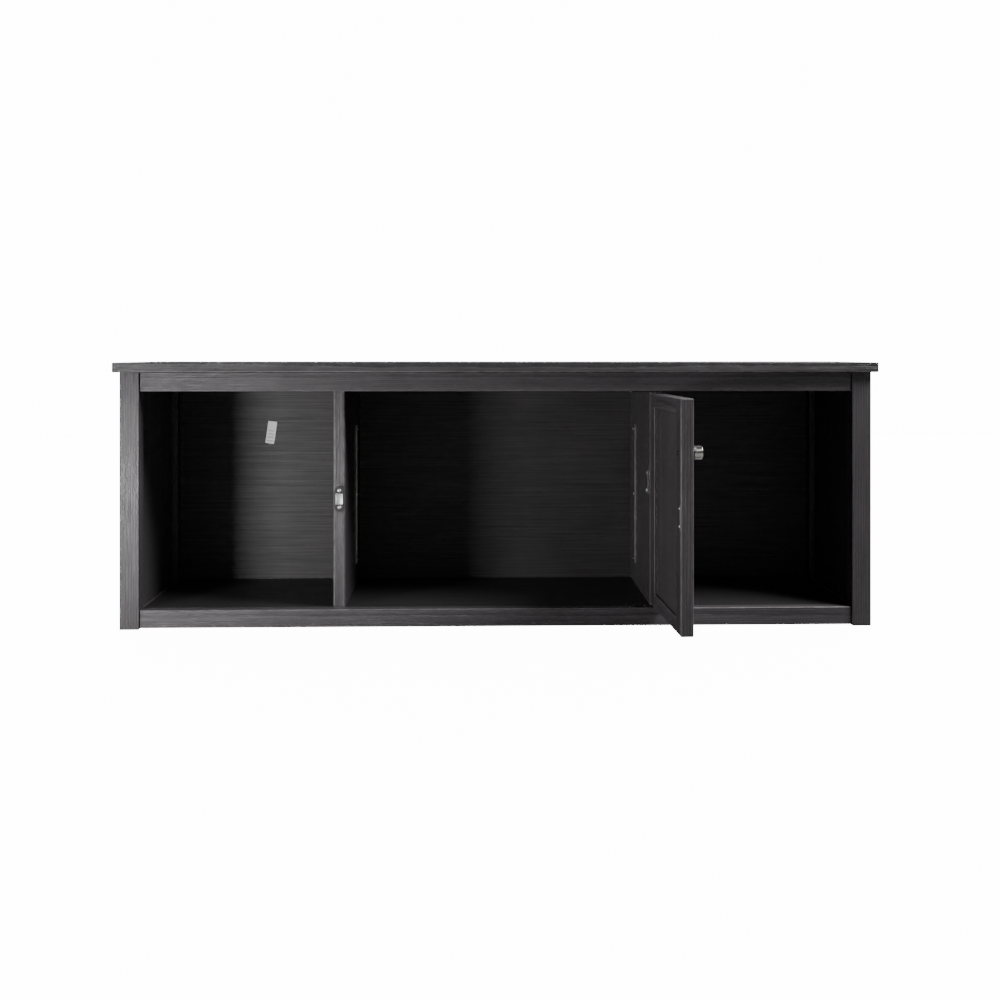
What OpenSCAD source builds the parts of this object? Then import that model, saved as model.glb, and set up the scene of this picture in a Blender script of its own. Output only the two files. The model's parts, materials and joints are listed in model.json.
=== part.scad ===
// Low media cabinet: corner posts with front and side rails, three open bays and one inset
// door leaf on pivot hinges. +X is to the right seen from the front, +Y runs towards the back,
// +Z is up. The origin is on the floor, at the centre of the outline with the door at its rest angle.

/* [Cabinet] */
// Width over the corner posts
cab_w = 1500; // [1400:10:2000]
// Height from the floor to the top surface
cab_h = 530; // [430:5:700]
// Depth over the corner posts
cab_d = 384; // [320:4:600]
// Clear width of the middle bay
mid_bay_w = 616; // [500:4:720]

/* [Top] */
// Thickness of the top
top_t = 20; // [15:1:30]
// How far the top passes the posts at the front and at both ends
top_overhang = 12; // [4:1:30]

/* [Frame] */
// Side of the square corner posts
post_s = 38; // [32:1:60]
// How far the posts stand in front of the front rails
post_proud = 5; // [1:1:8]
// Thickness of the front rails
rail_t = 24; // [18:1:27]
// Height of the top rails
top_rail_h = 38; // [30:1:60]
// Height of the bottom rails
bottom_rail_h = 36; // [30:1:60]
// Gap between the floor and the bottom rails
rail_lift = 2; // [0:1:20]
// How far the side rails lie inside the posts' outer faces
side_reveal = 4; // [1:1:8]
// Thickness of the rails along the back
rear_rail_t = 24; // [15:1:30]
// Height of the top rail along the back
rear_rail_h = 24; // [18:1:30]
// Diameter of the joint dowels
dowel_d = 8; // [6:1:10]
// Length of the joint dowels
dowel_l = 30; // [20:2:40]

/* [Panels] */
// Thickness of the two dividers
divider_t = 24; // [16:1:30]
// Thickness of the cabinet floor
floor_t = 18; // [12:1:22]
// Thickness of the side panels
side_panel_t = 12; // [6:1:16]
// Thickness of the back panel
back_t = 6; // [3:1:10]
// Depth of the grooves that hold the side panels and the door panel
groove_d = 8; // [5:1:12]
// Play between a panel's edge and the bottom of its groove
groove_play = 0.5; // [0.2:0.1:1]

/* [Battens] */
// Side of the square battens under the top
cleat_s = 20; // [15:1:30]
// Width of the battens and bearers under the floor
bearer_w = 20; // [15:1:30]

/* [Door] */
// Thickness of the door frame
door_t = 24; // [18:1:30]
// Width of the door stiles
door_stile_w = 48; // [40:1:80]
// Height of the door rails
door_rail_h = 27; // [25:1:80]
// Thickness of the door panel
door_panel_t = 8; // [4:1:10]
// How far the panel lies behind the inner face of the frame
door_panel_set = 6; // [2:1:8]
// Gap between the closed door and the middle of the bay
door_gap = 1.5; // [1:0.5:4]
// Opening angle of the door at rest
door_angle = 92; // [0:1:110]

/* [Hinges] */
// Distance from the pivot to the door's hinge edge
pivot_inset = 10; // [8:1:14]
// Diameter of the pivot pins
pivot_d = 5; // [4:0.5:6]
// Radial play of the pivot pins in the door leaves
pivot_play = 0.05; // [0.02:0.01:0.1]
// Length of a hinge leaf from the pivot to its tip
leaf_l = 58; // [50:1:80]
// Width of a hinge leaf
leaf_w = 14; // [12:1:18]
// Thickness of a hinge leaf
leaf_t = 2; // [1.5:0.5:3]
// Thickness of the washer between two leaves
washer_t = 0.6; // [0.4:0.1:1]
// Air between the door's leaf and the washer
washer_play = 0.1; // [0.05:0.05:0.3]
// Air between the turning door and the divider
swing_clear = 2.4; // [1:0.1:5]

/* [Knob] */
// Diameter of the knob
knob_d = 25; // [18:1:35]
// How far the knob stands off the door
knob_l = 19; // [14:1:32]
// Distance from the door's top edge to the knob's axis
knob_drop = 98; // [60:1:220]

/* [Catch] */
// Height of the catch body
catch_h = 52; // [44:1:60]
// Width of the catch body
catch_w = 20; // [16:1:22]
// Thickness of the catch body
catch_t = 5; // [3:0.5:6]
// Height of the strike plate on the door
strike_h = 46; // [40:1:54]
// Width of the strike plate and of the side plate
strike_w = 12; // [10:1:14]
// Thickness of the strike plate on the door
strike_t = 1.2; // [0.8:0.2:2]

/* [Shelf standards] */
// Length of the slotted shelf standards
standard_l = 305; // [200:5:340]
// Width of the shelf standards
standard_w = 16; // [12:1:20]
// How far the shelf standards stand off the dividers
standard_t = 3; // [2:0.5:6]
// Distance between two slots
slot_pitch = 12.7; // [10:0.1:20]

/* [Hidden] */
$fn = 48;

// Colours of the finishes
black_wood = [0.07, 0.065, 0.07];
black_ply = [0.09, 0.085, 0.09];
bare_pine = [0.72, 0.56, 0.36];
beech = [0.80, 0.64, 0.43];
steel = [0.72, 0.73, 0.75];
black_steel = [0.13, 0.13, 0.14];
zinc = [0.62, 0.63, 0.64];
brown_plastic = [0.10, 0.09, 0.085];
nylon_white = [0.88, 0.88, 0.86];
label_white = [0.94, 0.94, 0.92];

// Along Y, measured from the front face of the front rails
post_front_y = -post_proud;
back_y = cab_d - post_proud;
head_room = 2;
panel_y = back_y - head_room - back_t;
top_front_y = post_front_y - top_overhang;

// Along X and Z
under_top = cab_h - top_t;
opening_top = under_top - top_rail_h;
floor_top = rail_lift + bottom_rail_h;
floor_under = floor_top - floor_t;
inner_x = cab_w / 2 - post_s;
divider_in = mid_bay_w / 2;
divider_out = divider_in + divider_t;
divider_mid = divider_in + divider_t / 2;

// Door and hinges. The pivot lies half-way through the door's thickness.
pivot_x = divider_mid;
pivot_y = door_t / 2;
hinge_edge_x = pivot_x + pivot_inset;
door_w = hinge_edge_x - door_gap;
swing_r = sqrt(pow(pivot_inset, 2) + pow(door_t / 2, 2));
divider_front_y = max(pivot_y + swing_r + swing_clear, rail_t);
hinge_stack = 2 * leaf_t + washer_t + washer_play;
washer_less = 2;
washer_d = leaf_w - washer_less;
door_bottom = floor_top + hinge_stack;
door_top = opening_top - hinge_stack;
door_h = door_top - door_bottom;
door_reach = (door_w - pivot_inset) * sin(door_angle) - pivot_y * cos(door_angle);

// The outline's centre becomes the origin
front_most_y = min(top_front_y, pivot_y - door_reach);
frame_y = -(front_most_y + back_y) / 2;

// Grooved frames
side_rail_t = post_s - side_reveal;
side_panel_x = cab_w / 2 - side_reveal - side_rail_t / 2;
side_span = cab_d - 2 * post_s;
side_front_y = post_front_y + post_s;
side_back_y = side_front_y + side_span;
panel_hold = groove_d - groove_play;
tenon_shoulder = 8;
door_panel_y = door_t - door_panel_set - door_panel_t;
free_edge_x = hinge_edge_x - door_w;
panel_left_x = free_edge_x + door_stile_w;
panel_right_x = hinge_edge_x - door_stile_w;

// Screws: [length, head radius, shank radius, head height]
cleat_screw = [32, 4, 2, 3];
bearer_screw = [60, 4, 2, 3];
floor_screw = [30, 4, 2, 3];
small_screw = [16, 3.2, 1.5, 2];
plate_screw = [14, 3.8, 1.5, 2];
leaf_screw = [20, 3, 1.5, 1.6];
leaf_screw_steps = [0.42, 0.82];
leaf_screw_xs = [for (s = leaf_screw_steps) -leaf_l * s];
eps = 0.01;

// Fastener places
cleat_screw_ys = [for (i = [0:2]) side_front_y + side_span * (1 + 2 * i) / 6];
bearer_front_y = rail_t + bearer_w;
bearer_back_y = panel_y - rear_rail_t;
bearer_span = bearer_back_y - bearer_front_y;
bearer_screw_ys = [for (i = [0:2]) bearer_front_y + bearer_span * (1 + 2 * i) / 6];
front_screw_count = 5;
front_screw_xs = [for (i = [0:front_screw_count - 1])
    -inner_x + 2 * inner_x * (i + 0.5) / front_screw_count];
back_screw_count = 6;
back_screw_xs = [for (i = [0:back_screw_count - 1])
    -inner_x + 2 * inner_x * (i + 0.5) / back_screw_count];
back_screw_zs = [rail_lift + (floor_under - rail_lift) / 2, under_top - rear_rail_h / 2];
divider_screw_zs = [for (i = [1:2]) floor_top + (under_top - floor_top) * i / 3];
dowel_spread = 0.25;

// Catch, plates and standards
catch_z = (floor_top + opening_top) / 2;
catch_in = 1;
catch_x = -(divider_in + catch_w / 2 + catch_in);
catch_wall = 1;
magnet_w = 14;
magnet_h = 22;
magnet_proud = 0.8;
catch_screw_step = 17;
strike_screw_step = 16;
strike_edge = 2;
side_plate_t = 3;
side_plate_h = 51;
side_plate_screw_step = 18;
side_plate_back = 26;
side_plate_up = 31;
side_plate_y = divider_front_y + side_plate_back;
side_plate_z = catch_z + side_plate_up;
standard_back = 0.73;
standard_down = 17;
standard_y = divider_front_y + (panel_y - divider_front_y) * standard_back;
standard_z = catch_z - standard_down;
standard_wall = 1;
slot_w = 8;
slot_h = 3;
slot_count = floor((standard_l - 2 * slot_pitch) / slot_pitch);
slot_middle = (slot_count + 1) / 2;
slot_clear = 0.6;
nail_r = 1;
nail_head_r = 2.6;
nail_head_t = 0.8;
nail_l = 12;
nail_steps = [-0.47, 0, 0.47];
knob_z = door_top - knob_drop;
knob_x = free_edge_x + door_stile_w / 2;
knob_neck_d = 14;
knob_neck_l = 3.5;
knob_bolt_r = 2;
knob_bolt_in = 10;
knob_bolt_head_r = 4.2;
knob_bolt_head_t = 2.4;
label_w = 20;
label_h = 50;
label_t = 0.2;
label_tilt = 8;
label_out = 176;
label_x = -(divider_out + label_out);
label_z = 369;

// ---- placing -------------------------------------------------------------------------------

// Moves what is drawn from the front rails' face into the model's frame
module placed() {
    translate([0, frame_y, 0]) children();
}

// Turns the closed door about its pivot to its rest angle
module door_placed() {
    placed()
        translate([pivot_x, pivot_y, 0])
            rotate([0, 0, door_angle])
                translate([-pivot_x, -pivot_y, 0]) children();
}

// Draws on the right side (side = 1) or mirrored on the left side (side = -1)
module on_side(side) {
    if (side > 0) children();
    else mirror([1, 0, 0]) children();
}

// ---- shared shapes ---------------------------------------------------------------------------

// A box between two corners
module block(low, high) {
    translate(low) cube(high - low);
}

// A countersunk screw with its head's face at the origin, driven along -Z
module screw(s) {
    union() {
        translate([0, 0, -s[3]]) cylinder(h = s[3], r1 = s[2], r2 = s[1]);
        translate([0, 0, -s[0]]) cylinder(h = s[0] - s[3] + eps, r = s[2]);
    }
}

module screw_up(s) {
    rotate([180, 0, 0]) screw(s);
}

module screw_to_back(s) {
    rotate([90, 0, 0]) screw(s);
}

module screw_to_front(s) {
    rotate([-90, 0, 0]) screw(s);
}

module screw_to_right(s) {
    rotate([0, -90, 0]) screw(s);
}

// ---- dowels ----------------------------------------------------------------------------------

// Two dowels across one joint that lies at x, between z_low and z_high
module dowels_along_x(x, y, z_low, z_high) {
    for (s = [0.5 - dowel_spread, 0.5 + dowel_spread])
        translate([x - dowel_l / 2, y, z_low + (z_high - z_low) * s])
            rotate([0, 90, 0]) cylinder(h = dowel_l, d = dowel_d);
}

module dowels_along_y(x, y, z_low, z_high) {
    for (s = [0.5 - dowel_spread, 0.5 + dowel_spread])
        translate([x, y + dowel_l / 2, z_low + (z_high - z_low) * s])
            rotate([90, 0, 0]) cylinder(h = dowel_l, d = dowel_d);
}

// The dowels of one side of the cabinet, as drawn for the right side
module side_dowels() {
    dowels_along_x(inner_x, rail_t / 2, opening_top, under_top);
    dowels_along_x(inner_x, rail_t / 2, rail_lift, floor_top);
    for (y = [side_front_y, side_back_y]) {
        dowels_along_y(side_panel_x, y, opening_top + groove_d, under_top);
        dowels_along_y(side_panel_x, y, rail_lift, floor_top - groove_d);
    }
}

module frame_dowels() {
    color(beech) placed() for (side = [-1, 1]) on_side(side) side_dowels();
}

// ---- frame -----------------------------------------------------------------------------------

module top_panel() {
    color(black_wood) placed() difference() {
        block([-cab_w / 2 - top_overhang, top_front_y, under_top],
            [cab_w / 2 + top_overhang, back_y, cab_h]);
        cleat_screw_set();
    }
}

// A side panel whose edges reach this far into the frame, as drawn for the right side
module side_panel_room(reach) {
    block([side_panel_x - side_panel_t / 2, side_front_y - reach, floor_top - reach],
        [side_panel_x + side_panel_t / 2, side_back_y + reach, opening_top + reach]);
}

module post(side, rear) {
    y = rear ? side_back_y : post_front_y;
    color(black_wood) placed() on_side(side) difference() {
        block([inner_x, y, 0], [cab_w / 2, y + post_s, under_top]);
        side_panel_room(groove_d);
        side_dowels();
    }
}

module post_front_left() { post(-1, false); }
module post_front_right() { post(1, false); }
module post_rear_left() { post(-1, true); }
module post_rear_right() { post(1, true); }

module front_rail_top() {
    color(black_wood) placed() difference() {
        block([-inner_x, 0, opening_top], [inner_x, rail_t, under_top]);
        for (side = [-1, 1]) on_side(side) side_dowels();
        hinge_frame_screw_set();
    }
}

module front_rail_bottom() {
    color(black_wood) placed() difference() {
        block([-inner_x, 0, rail_lift], [inner_x, rail_t, floor_top]);
        for (side = [-1, 1]) on_side(side) side_dowels();
        hinge_frame_screw_set();
    }
}

module rear_rail_top() {
    color(black_wood) placed() difference() {
        block([-inner_x, panel_y - rear_rail_t, under_top - rear_rail_h], [inner_x, panel_y, under_top]);
        back_screw_set();
    }
}

module rear_rail_bottom() {
    color(black_wood) placed() difference() {
        block([-inner_x, panel_y - rear_rail_t, rail_lift], [inner_x, panel_y, floor_under]);
        back_screw_set();
    }
}

module side_rail(side, z_low, z_high) {
    color(black_wood) placed() on_side(side) difference() {
        block([inner_x, side_front_y, z_low], [cab_w / 2 - side_reveal, side_back_y, z_high]);
        side_panel_room(groove_d);
        side_dowels();
    }
}

module side_rail_top_left() { side_rail(-1, opening_top, under_top); }
module side_rail_top_right() { side_rail(1, opening_top, under_top); }
module side_rail_bottom_left() { side_rail(-1, rail_lift, floor_top); }
module side_rail_bottom_right() { side_rail(1, rail_lift, floor_top); }

// ---- panels ----------------------------------------------------------------------------------

module side_panel(side) {
    color(black_ply) placed() on_side(side) side_panel_room(panel_hold);
}

module side_panel_left() { side_panel(-1); }
module side_panel_right() { side_panel(1); }

module divider(side) {
    color(black_wood) placed() difference() {
        on_side(side) difference() {
            block([divider_in, divider_front_y, floor_top], [divider_out, panel_y, under_top]);
            block([divider_in - eps, panel_y - rear_rail_t, under_top - rear_rail_h],
                [divider_out + eps, panel_y + eps, under_top + eps]);
        }
        bearer_screw_set();
        back_screw_set();
        nail_set();
        translate([catch_x, 0, 0]) catch_screw_set();
        side_plate_screw_set();
    }
}

module divider_left() { divider(-1); }
module divider_right() { divider(1); }

module floor_panel() {
    color(black_ply) placed() difference() {
        block([-inner_x, rail_t, floor_under], [inner_x, panel_y, floor_top]);
        floor_screw_set();
        bearer_screw_set();
    }
}

module back_panel() {
    color(black_ply) placed() difference() {
        block([-inner_x, panel_y, rail_lift], [inner_x, panel_y + back_t, under_top]);
        back_screw_set();
    }
}

module paper_label() {
    color(label_white) placed()
        translate([label_x, panel_y - label_t, label_z])
            rotate([0, label_tilt, 0])
                translate([-label_w / 2, 0, -label_h / 2]) cube([label_w, label_t, label_h]);
}

// ---- battens and their screws ------------------------------------------------------------------

// The screws that hold the top, up through the battens
module cleat_screw_set() {
    for (side = [-1, 1], x = [inner_x - cleat_s / 2, divider_out + cleat_s / 2], y = cleat_screw_ys)
        translate([side * x, y, under_top - cleat_s]) screw_up(cleat_screw);
}

// The screws that hold the floor, up through the battens under it
module floor_screw_set() {
    for (side = [-1, 1], y = cleat_screw_ys)
        translate([side * (inner_x - bearer_w / 2), y, rail_lift]) screw_up(floor_screw);
    for (x = front_screw_xs)
        translate([x, rail_t + bearer_w / 2, rail_lift]) screw_up(floor_screw);
}

// The screws that hold the dividers, up through the bearers and the floor
module bearer_screw_set() {
    for (side = [-1, 1], y = bearer_screw_ys)
        translate([side * divider_mid, y, 0]) screw_up(bearer_screw);
}

module back_screw_set() {
    for (x = back_screw_xs, z = back_screw_zs)
        translate([x, panel_y + back_t, z]) screw_to_front(small_screw);
    for (side = [-1, 1], z = divider_screw_zs)
        translate([side * divider_mid, panel_y + back_t, z]) screw_to_front(small_screw);
}

// A batten under the top whose outer face lies at x_out, as drawn for the right side
module cleat(side, x_out) {
    color(bare_pine) placed() difference() {
        on_side(side) block([x_out - cleat_s, side_front_y, under_top - cleat_s],
            [x_out, side_back_y, under_top]);
        cleat_screw_set();
    }
}

module top_cleat_left() { cleat(-1, inner_x); }
module top_cleat_right() { cleat(1, inner_x); }
module divider_cleat_left() { cleat(-1, divider_out + cleat_s); }
module divider_cleat_right() { cleat(1, divider_out + cleat_s); }

module floor_cleat(side) {
    color(bare_pine) placed() difference() {
        on_side(side) block([inner_x - bearer_w, bearer_front_y, rail_lift],
            [inner_x, bearer_back_y, floor_under]);
        floor_screw_set();
    }
}

module floor_cleat_left() { floor_cleat(-1); }
module floor_cleat_right() { floor_cleat(1); }

module floor_cleat_front() {
    color(bare_pine) placed() difference() {
        block([-inner_x, rail_t, rail_lift], [inner_x, bearer_front_y, floor_under]);
        floor_screw_set();
    }
}

module floor_bearer(side) {
    color(bare_pine) placed() difference() {
        on_side(side) block([divider_mid - bearer_w / 2, bearer_front_y, 0],
            [divider_mid + bearer_w / 2, bearer_back_y, floor_under]);
        bearer_screw_set();
    }
}

module floor_bearer_left() { floor_bearer(-1); }
module floor_bearer_right() { floor_bearer(1); }

module cleat_screws() { color(zinc) placed() cleat_screw_set(); }
module floor_screws() { color(zinc) placed() floor_screw_set(); }
module bearer_screws() { color(zinc) placed() bearer_screw_set(); }
module back_panel_screws() { color(zinc) placed() back_screw_set(); }

// ---- shelf standards ---------------------------------------------------------------------------

module nail_set() {
    for (side = [-1, 1], s = nail_steps)
        on_side(side)
            translate([divider_in - standard_t, standard_y, standard_z + standard_l * s])
                rotate([0, 90, 0]) {
                    translate([0, 0, -nail_head_t]) cylinder(h = nail_head_t, r = nail_head_r);
                    translate([0, 0, -eps]) cylinder(h = standard_t + nail_l, r = nail_r);
                }
}

// A slotted channel, open towards the divider
module shelf_standard(side) {
    color(steel) placed() difference() {
        on_side(side) translate([divider_in - standard_t, standard_y - standard_w / 2,
            standard_z - standard_l / 2])
            difference() {
                cube([standard_t, standard_w, standard_l]);
                translate([standard_wall, standard_wall, -eps])
                    cube([standard_t, standard_w - 2 * standard_wall, standard_l + 2 * eps]);
                for (i = [1:slot_count])
                    if (abs(i - slot_middle) > slot_clear)
                        translate([-eps, (standard_w - slot_w) / 2,
                            standard_l / 2 + (i - slot_middle) * slot_pitch - slot_h / 2])
                            cube([standard_wall + 2 * eps, slot_w, slot_h]);
            }
        nail_set();
    }
}

module shelf_standard_left() { shelf_standard(-1); }
module shelf_standard_right() { shelf_standard(1); }
module shelf_standard_nails() { color(zinc) placed() nail_set(); }

// ---- magnetic catch and plates -----------------------------------------------------------------

// The catch's two screws, about the catch's own middle line
module catch_screw_set() {
    for (s = [-1, 1])
        translate([0, divider_front_y - catch_t, catch_z + s * catch_screw_step])
            screw_to_back(plate_screw);
}

module catch_body() {
    color(brown_plastic) placed() translate([catch_x, 0, 0]) difference() {
        union() {
            translate([-catch_w / 2, divider_front_y - catch_t, catch_z - catch_h / 2 + catch_w / 2])
                cube([catch_w, catch_t, catch_h - catch_w]);
            for (s = [-1, 1])
                translate([0, divider_front_y, catch_z + s * (catch_h - catch_w) / 2])
                    rotate([90, 0, 0]) cylinder(h = catch_t, d = catch_w);
        }
        magnet_room();
        catch_screw_set();
    }
}

module magnet_room() {
    translate([-magnet_w / 2, divider_front_y - catch_t - magnet_proud, catch_z - magnet_h / 2])
        cube([magnet_w, catch_t - catch_wall + magnet_proud, magnet_h]);
}

module catch_magnet() {
    color(steel) placed() translate([catch_x, 0, 0]) magnet_room();
}

module catch_screws() {
    color(zinc) placed() translate([catch_x, 0, 0]) catch_screw_set();
}

module side_plate_screw_set() {
    for (s = [-1, 1])
        translate([divider_in - side_plate_t, side_plate_y, side_plate_z + s * side_plate_screw_step])
            screw_to_right(plate_screw);
}

module side_plate() {
    color(steel) placed() difference() {
        translate([divider_in - side_plate_t, side_plate_y - strike_w / 2,
            side_plate_z - side_plate_h / 2])
            cube([side_plate_t, strike_w, side_plate_h]);
        side_plate_screw_set();
    }
}

module side_plate_screws() { color(zinc) placed() side_plate_screw_set(); }

// ---- pivot hinges --------------------------------------------------------------------------------

// Copies a hinge part drawn for the top, turned upside down, to the bottom
module at_top() {
    translate([pivot_x, pivot_y, opening_top]) children();
}

module at_bottom() {
    translate([pivot_x, pivot_y, floor_top]) mirror([0, 0, 1]) children();
}

// A leaf with a round end about the pivot, reaching towards -X. Its upper face is at z.
module leaf(z) {
    translate([0, 0, z - leaf_t]) {
        cylinder(h = leaf_t, d = leaf_w);
        translate([-leaf_l + leaf_w / 2, -leaf_w / 2, 0]) cube([leaf_l - leaf_w / 2, leaf_w, leaf_t]);
        translate([-leaf_l + leaf_w / 2, 0, 0]) cylinder(h = leaf_t, d = leaf_w);
    }
}

// The frame leaf's screws go up into the rail, the door leaf's go down into the door
module frame_leaf_screws_at_pivot() {
    for (x = leaf_screw_xs) translate([x, 0, -leaf_t]) screw_up(leaf_screw);
}

module door_leaf_screws_at_pivot() {
    for (x = leaf_screw_xs) translate([x, 0, leaf_t - hinge_stack]) screw(leaf_screw);
}

module hinge_frame_screw_set() {
    at_top() frame_leaf_screws_at_pivot();
    at_bottom() frame_leaf_screws_at_pivot();
}

module hinge_door_screw_set() {
    at_top() door_leaf_screws_at_pivot();
    at_bottom() door_leaf_screws_at_pivot();
}

module frame_leaf_at_pivot() {
    difference() {
        leaf(0);
        pin_at_pivot();
        frame_leaf_screws_at_pivot();
    }
}

module door_leaf_at_pivot() {
    difference() {
        leaf(leaf_t - hinge_stack);
        translate([0, 0, -hinge_stack - eps])
            cylinder(h = leaf_t + 2 * eps, r = pivot_d / 2 + pivot_play);
        door_leaf_screws_at_pivot();
    }
}

// The pin is pressed into the frame leaf and ends just short of the door
module pin_at_pivot() {
    translate([0, 0, washer_play - hinge_stack]) cylinder(h = hinge_stack - washer_play, d = pivot_d);
}

module washer_at_pivot() {
    translate([0, 0, -leaf_t - washer_t]) difference() {
        cylinder(h = washer_t, d = washer_d);
        translate([0, 0, -eps]) cylinder(h = washer_t + 2 * eps, d = pivot_d);
    }
}

module hinge_frame_leaf_top() { color(black_steel) placed() at_top() frame_leaf_at_pivot(); }
module hinge_frame_leaf_bottom() { color(black_steel) placed() at_bottom() frame_leaf_at_pivot(); }
module hinge_door_leaf_top() { color(black_steel) door_placed() at_top() door_leaf_at_pivot(); }
module hinge_door_leaf_bottom() { color(black_steel) door_placed() at_bottom() door_leaf_at_pivot(); }

module hinge_pins() {
    color(steel) placed() {
        at_top() pin_at_pivot();
        at_bottom() pin_at_pivot();
    }
}

module hinge_washers() {
    color(nylon_white) placed() {
        at_top() washer_at_pivot();
        at_bottom() washer_at_pivot();
    }
}

module hinge_frame_screws() { color(zinc) placed() hinge_frame_screw_set(); }
module hinge_door_screws() { color(zinc) door_placed() hinge_door_screw_set(); }

// ---- door ------------------------------------------------------------------------------------------

// A door panel whose edges reach this far into the frame
module door_panel_room(reach) {
    block([panel_left_x - reach, door_panel_y, door_bottom + door_rail_h - reach],
        [panel_right_x + reach, door_panel_y + door_panel_t, door_top - door_rail_h + reach]);
}

// A bar as thick as the panel, from the bottom of one stile's groove to the other's
module groove_bar(z_low, z_high) {
    block([panel_left_x - groove_d, door_panel_y, z_low],
        [panel_right_x + groove_d, door_panel_y + door_panel_t, z_high]);
}

module knob_bolt_room() {
    translate([knob_x, 0, knob_z]) rotate([-90, 0, 0])
        translate([0, 0, -knob_bolt_in]) cylinder(h = door_t + knob_bolt_in, r = knob_bolt_r);
}

module strike_screw_set() {
    for (s = [-1, 1])
        translate([free_edge_x + strike_edge + strike_w / 2, door_t + strike_t,
            catch_z + s * strike_screw_step])
            screw_to_front(small_screw);
}

module door_stile(x) {
    color(black_wood) door_placed() difference() {
        block([x, 0, door_bottom], [x + door_stile_w, door_t, door_top]);
        groove_bar(door_bottom + tenon_shoulder, door_top - tenon_shoulder);
        hinge_door_screw_set();
        knob_bolt_room();
        strike_screw_set();
    }
}

module door_stile_hinge() { door_stile(panel_right_x); }
module door_stile_free() { door_stile(free_edge_x); }

// A door rail with a tenon at each end, between the heights that the tenons keep
module door_rail(z, tenon_low, tenon_high) {
    color(black_wood) door_placed() difference() {
        union() {
            block([panel_left_x, 0, z], [panel_right_x, door_t, z + door_rail_h]);
            groove_bar(tenon_low, tenon_high);
        }
        door_panel_room(groove_d);
        hinge_door_screw_set();
    }
}

module door_rail_bottom() {
    door_rail(door_bottom, door_bottom + tenon_shoulder, door_bottom + door_rail_h - groove_d);
}

module door_rail_top() {
    door_rail(door_top - door_rail_h, door_top - door_rail_h + groove_d, door_top - tenon_shoulder);
}

module door_panel() {
    color(black_ply) door_placed() door_panel_room(panel_hold);
}

module knob() {
    color(steel) door_placed() translate([knob_x, 0, knob_z]) rotate([90, 0, 0])
        difference() {
            union() {
                cylinder(h = knob_neck_l + eps, d = knob_neck_d);
                translate([0, 0, knob_neck_l]) cylinder(h = knob_l - knob_neck_l, d = knob_d);
            }
            translate([0, 0, -eps]) cylinder(h = knob_bolt_in + eps, r = knob_bolt_r);
        }
}

module knob_screw() {
    color(black_steel) door_placed() {
        knob_bolt_room();
        translate([knob_x, door_t, knob_z]) rotate([-90, 0, 0])
            translate([0, 0, -eps]) cylinder(h = knob_bolt_head_t + eps, r = knob_bolt_head_r);
    }
}

module strike_plate() {
    color(steel) door_placed() difference() {
        block([free_edge_x + strike_edge, door_t, catch_z - strike_h / 2],
            [free_edge_x + strike_edge + strike_w, door_t + strike_t, catch_z + strike_h / 2]);
        strike_screw_set();
    }
}

module strike_screws() { color(zinc) door_placed() strike_screw_set(); }

// ---- nodes ---------------------------------------------------------------------------------------

top_panel();
post_front_left();
post_front_right();
post_rear_left();
post_rear_right();
front_rail_top();
front_rail_bottom();
rear_rail_top();
rear_rail_bottom();
side_rail_top_left();
side_rail_top_right();
side_rail_bottom_left();
side_rail_bottom_right();
side_panel_left();
side_panel_right();
divider_left();
divider_right();
floor_panel();
back_panel();
top_cleat_left();
top_cleat_right();
divider_cleat_left();
divider_cleat_right();
floor_cleat_left();
floor_cleat_right();
floor_cleat_front();
floor_bearer_left();
floor_bearer_right();
frame_dowels();
cleat_screws();
floor_screws();
bearer_screws();
back_panel_screws();
shelf_standard_left();
shelf_standard_right();
shelf_standard_nails();
catch_body();
catch_magnet();
catch_screws();
side_plate();
side_plate_screws();
paper_label();
hinge_frame_leaf_top();
hinge_frame_leaf_bottom();
hinge_pins();
hinge_washers();
hinge_frame_screws();
hinge_door_leaf_top();
hinge_door_leaf_bottom();
hinge_door_screws();
door_stile_hinge();
door_stile_free();
door_rail_top();
door_rail_bottom();
door_panel();
knob();
knob_screw();
strike_plate();
strike_screws();
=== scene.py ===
"""The looks of a low, black-stained media cabinet with one open door.

Run as a script inside Blender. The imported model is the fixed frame; every board is
shaped from its own frame part and every piece of hardware is made here.
"""
import json
import math
import random

import bmesh
import bpy
from mathutils import Matrix, Vector

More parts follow.
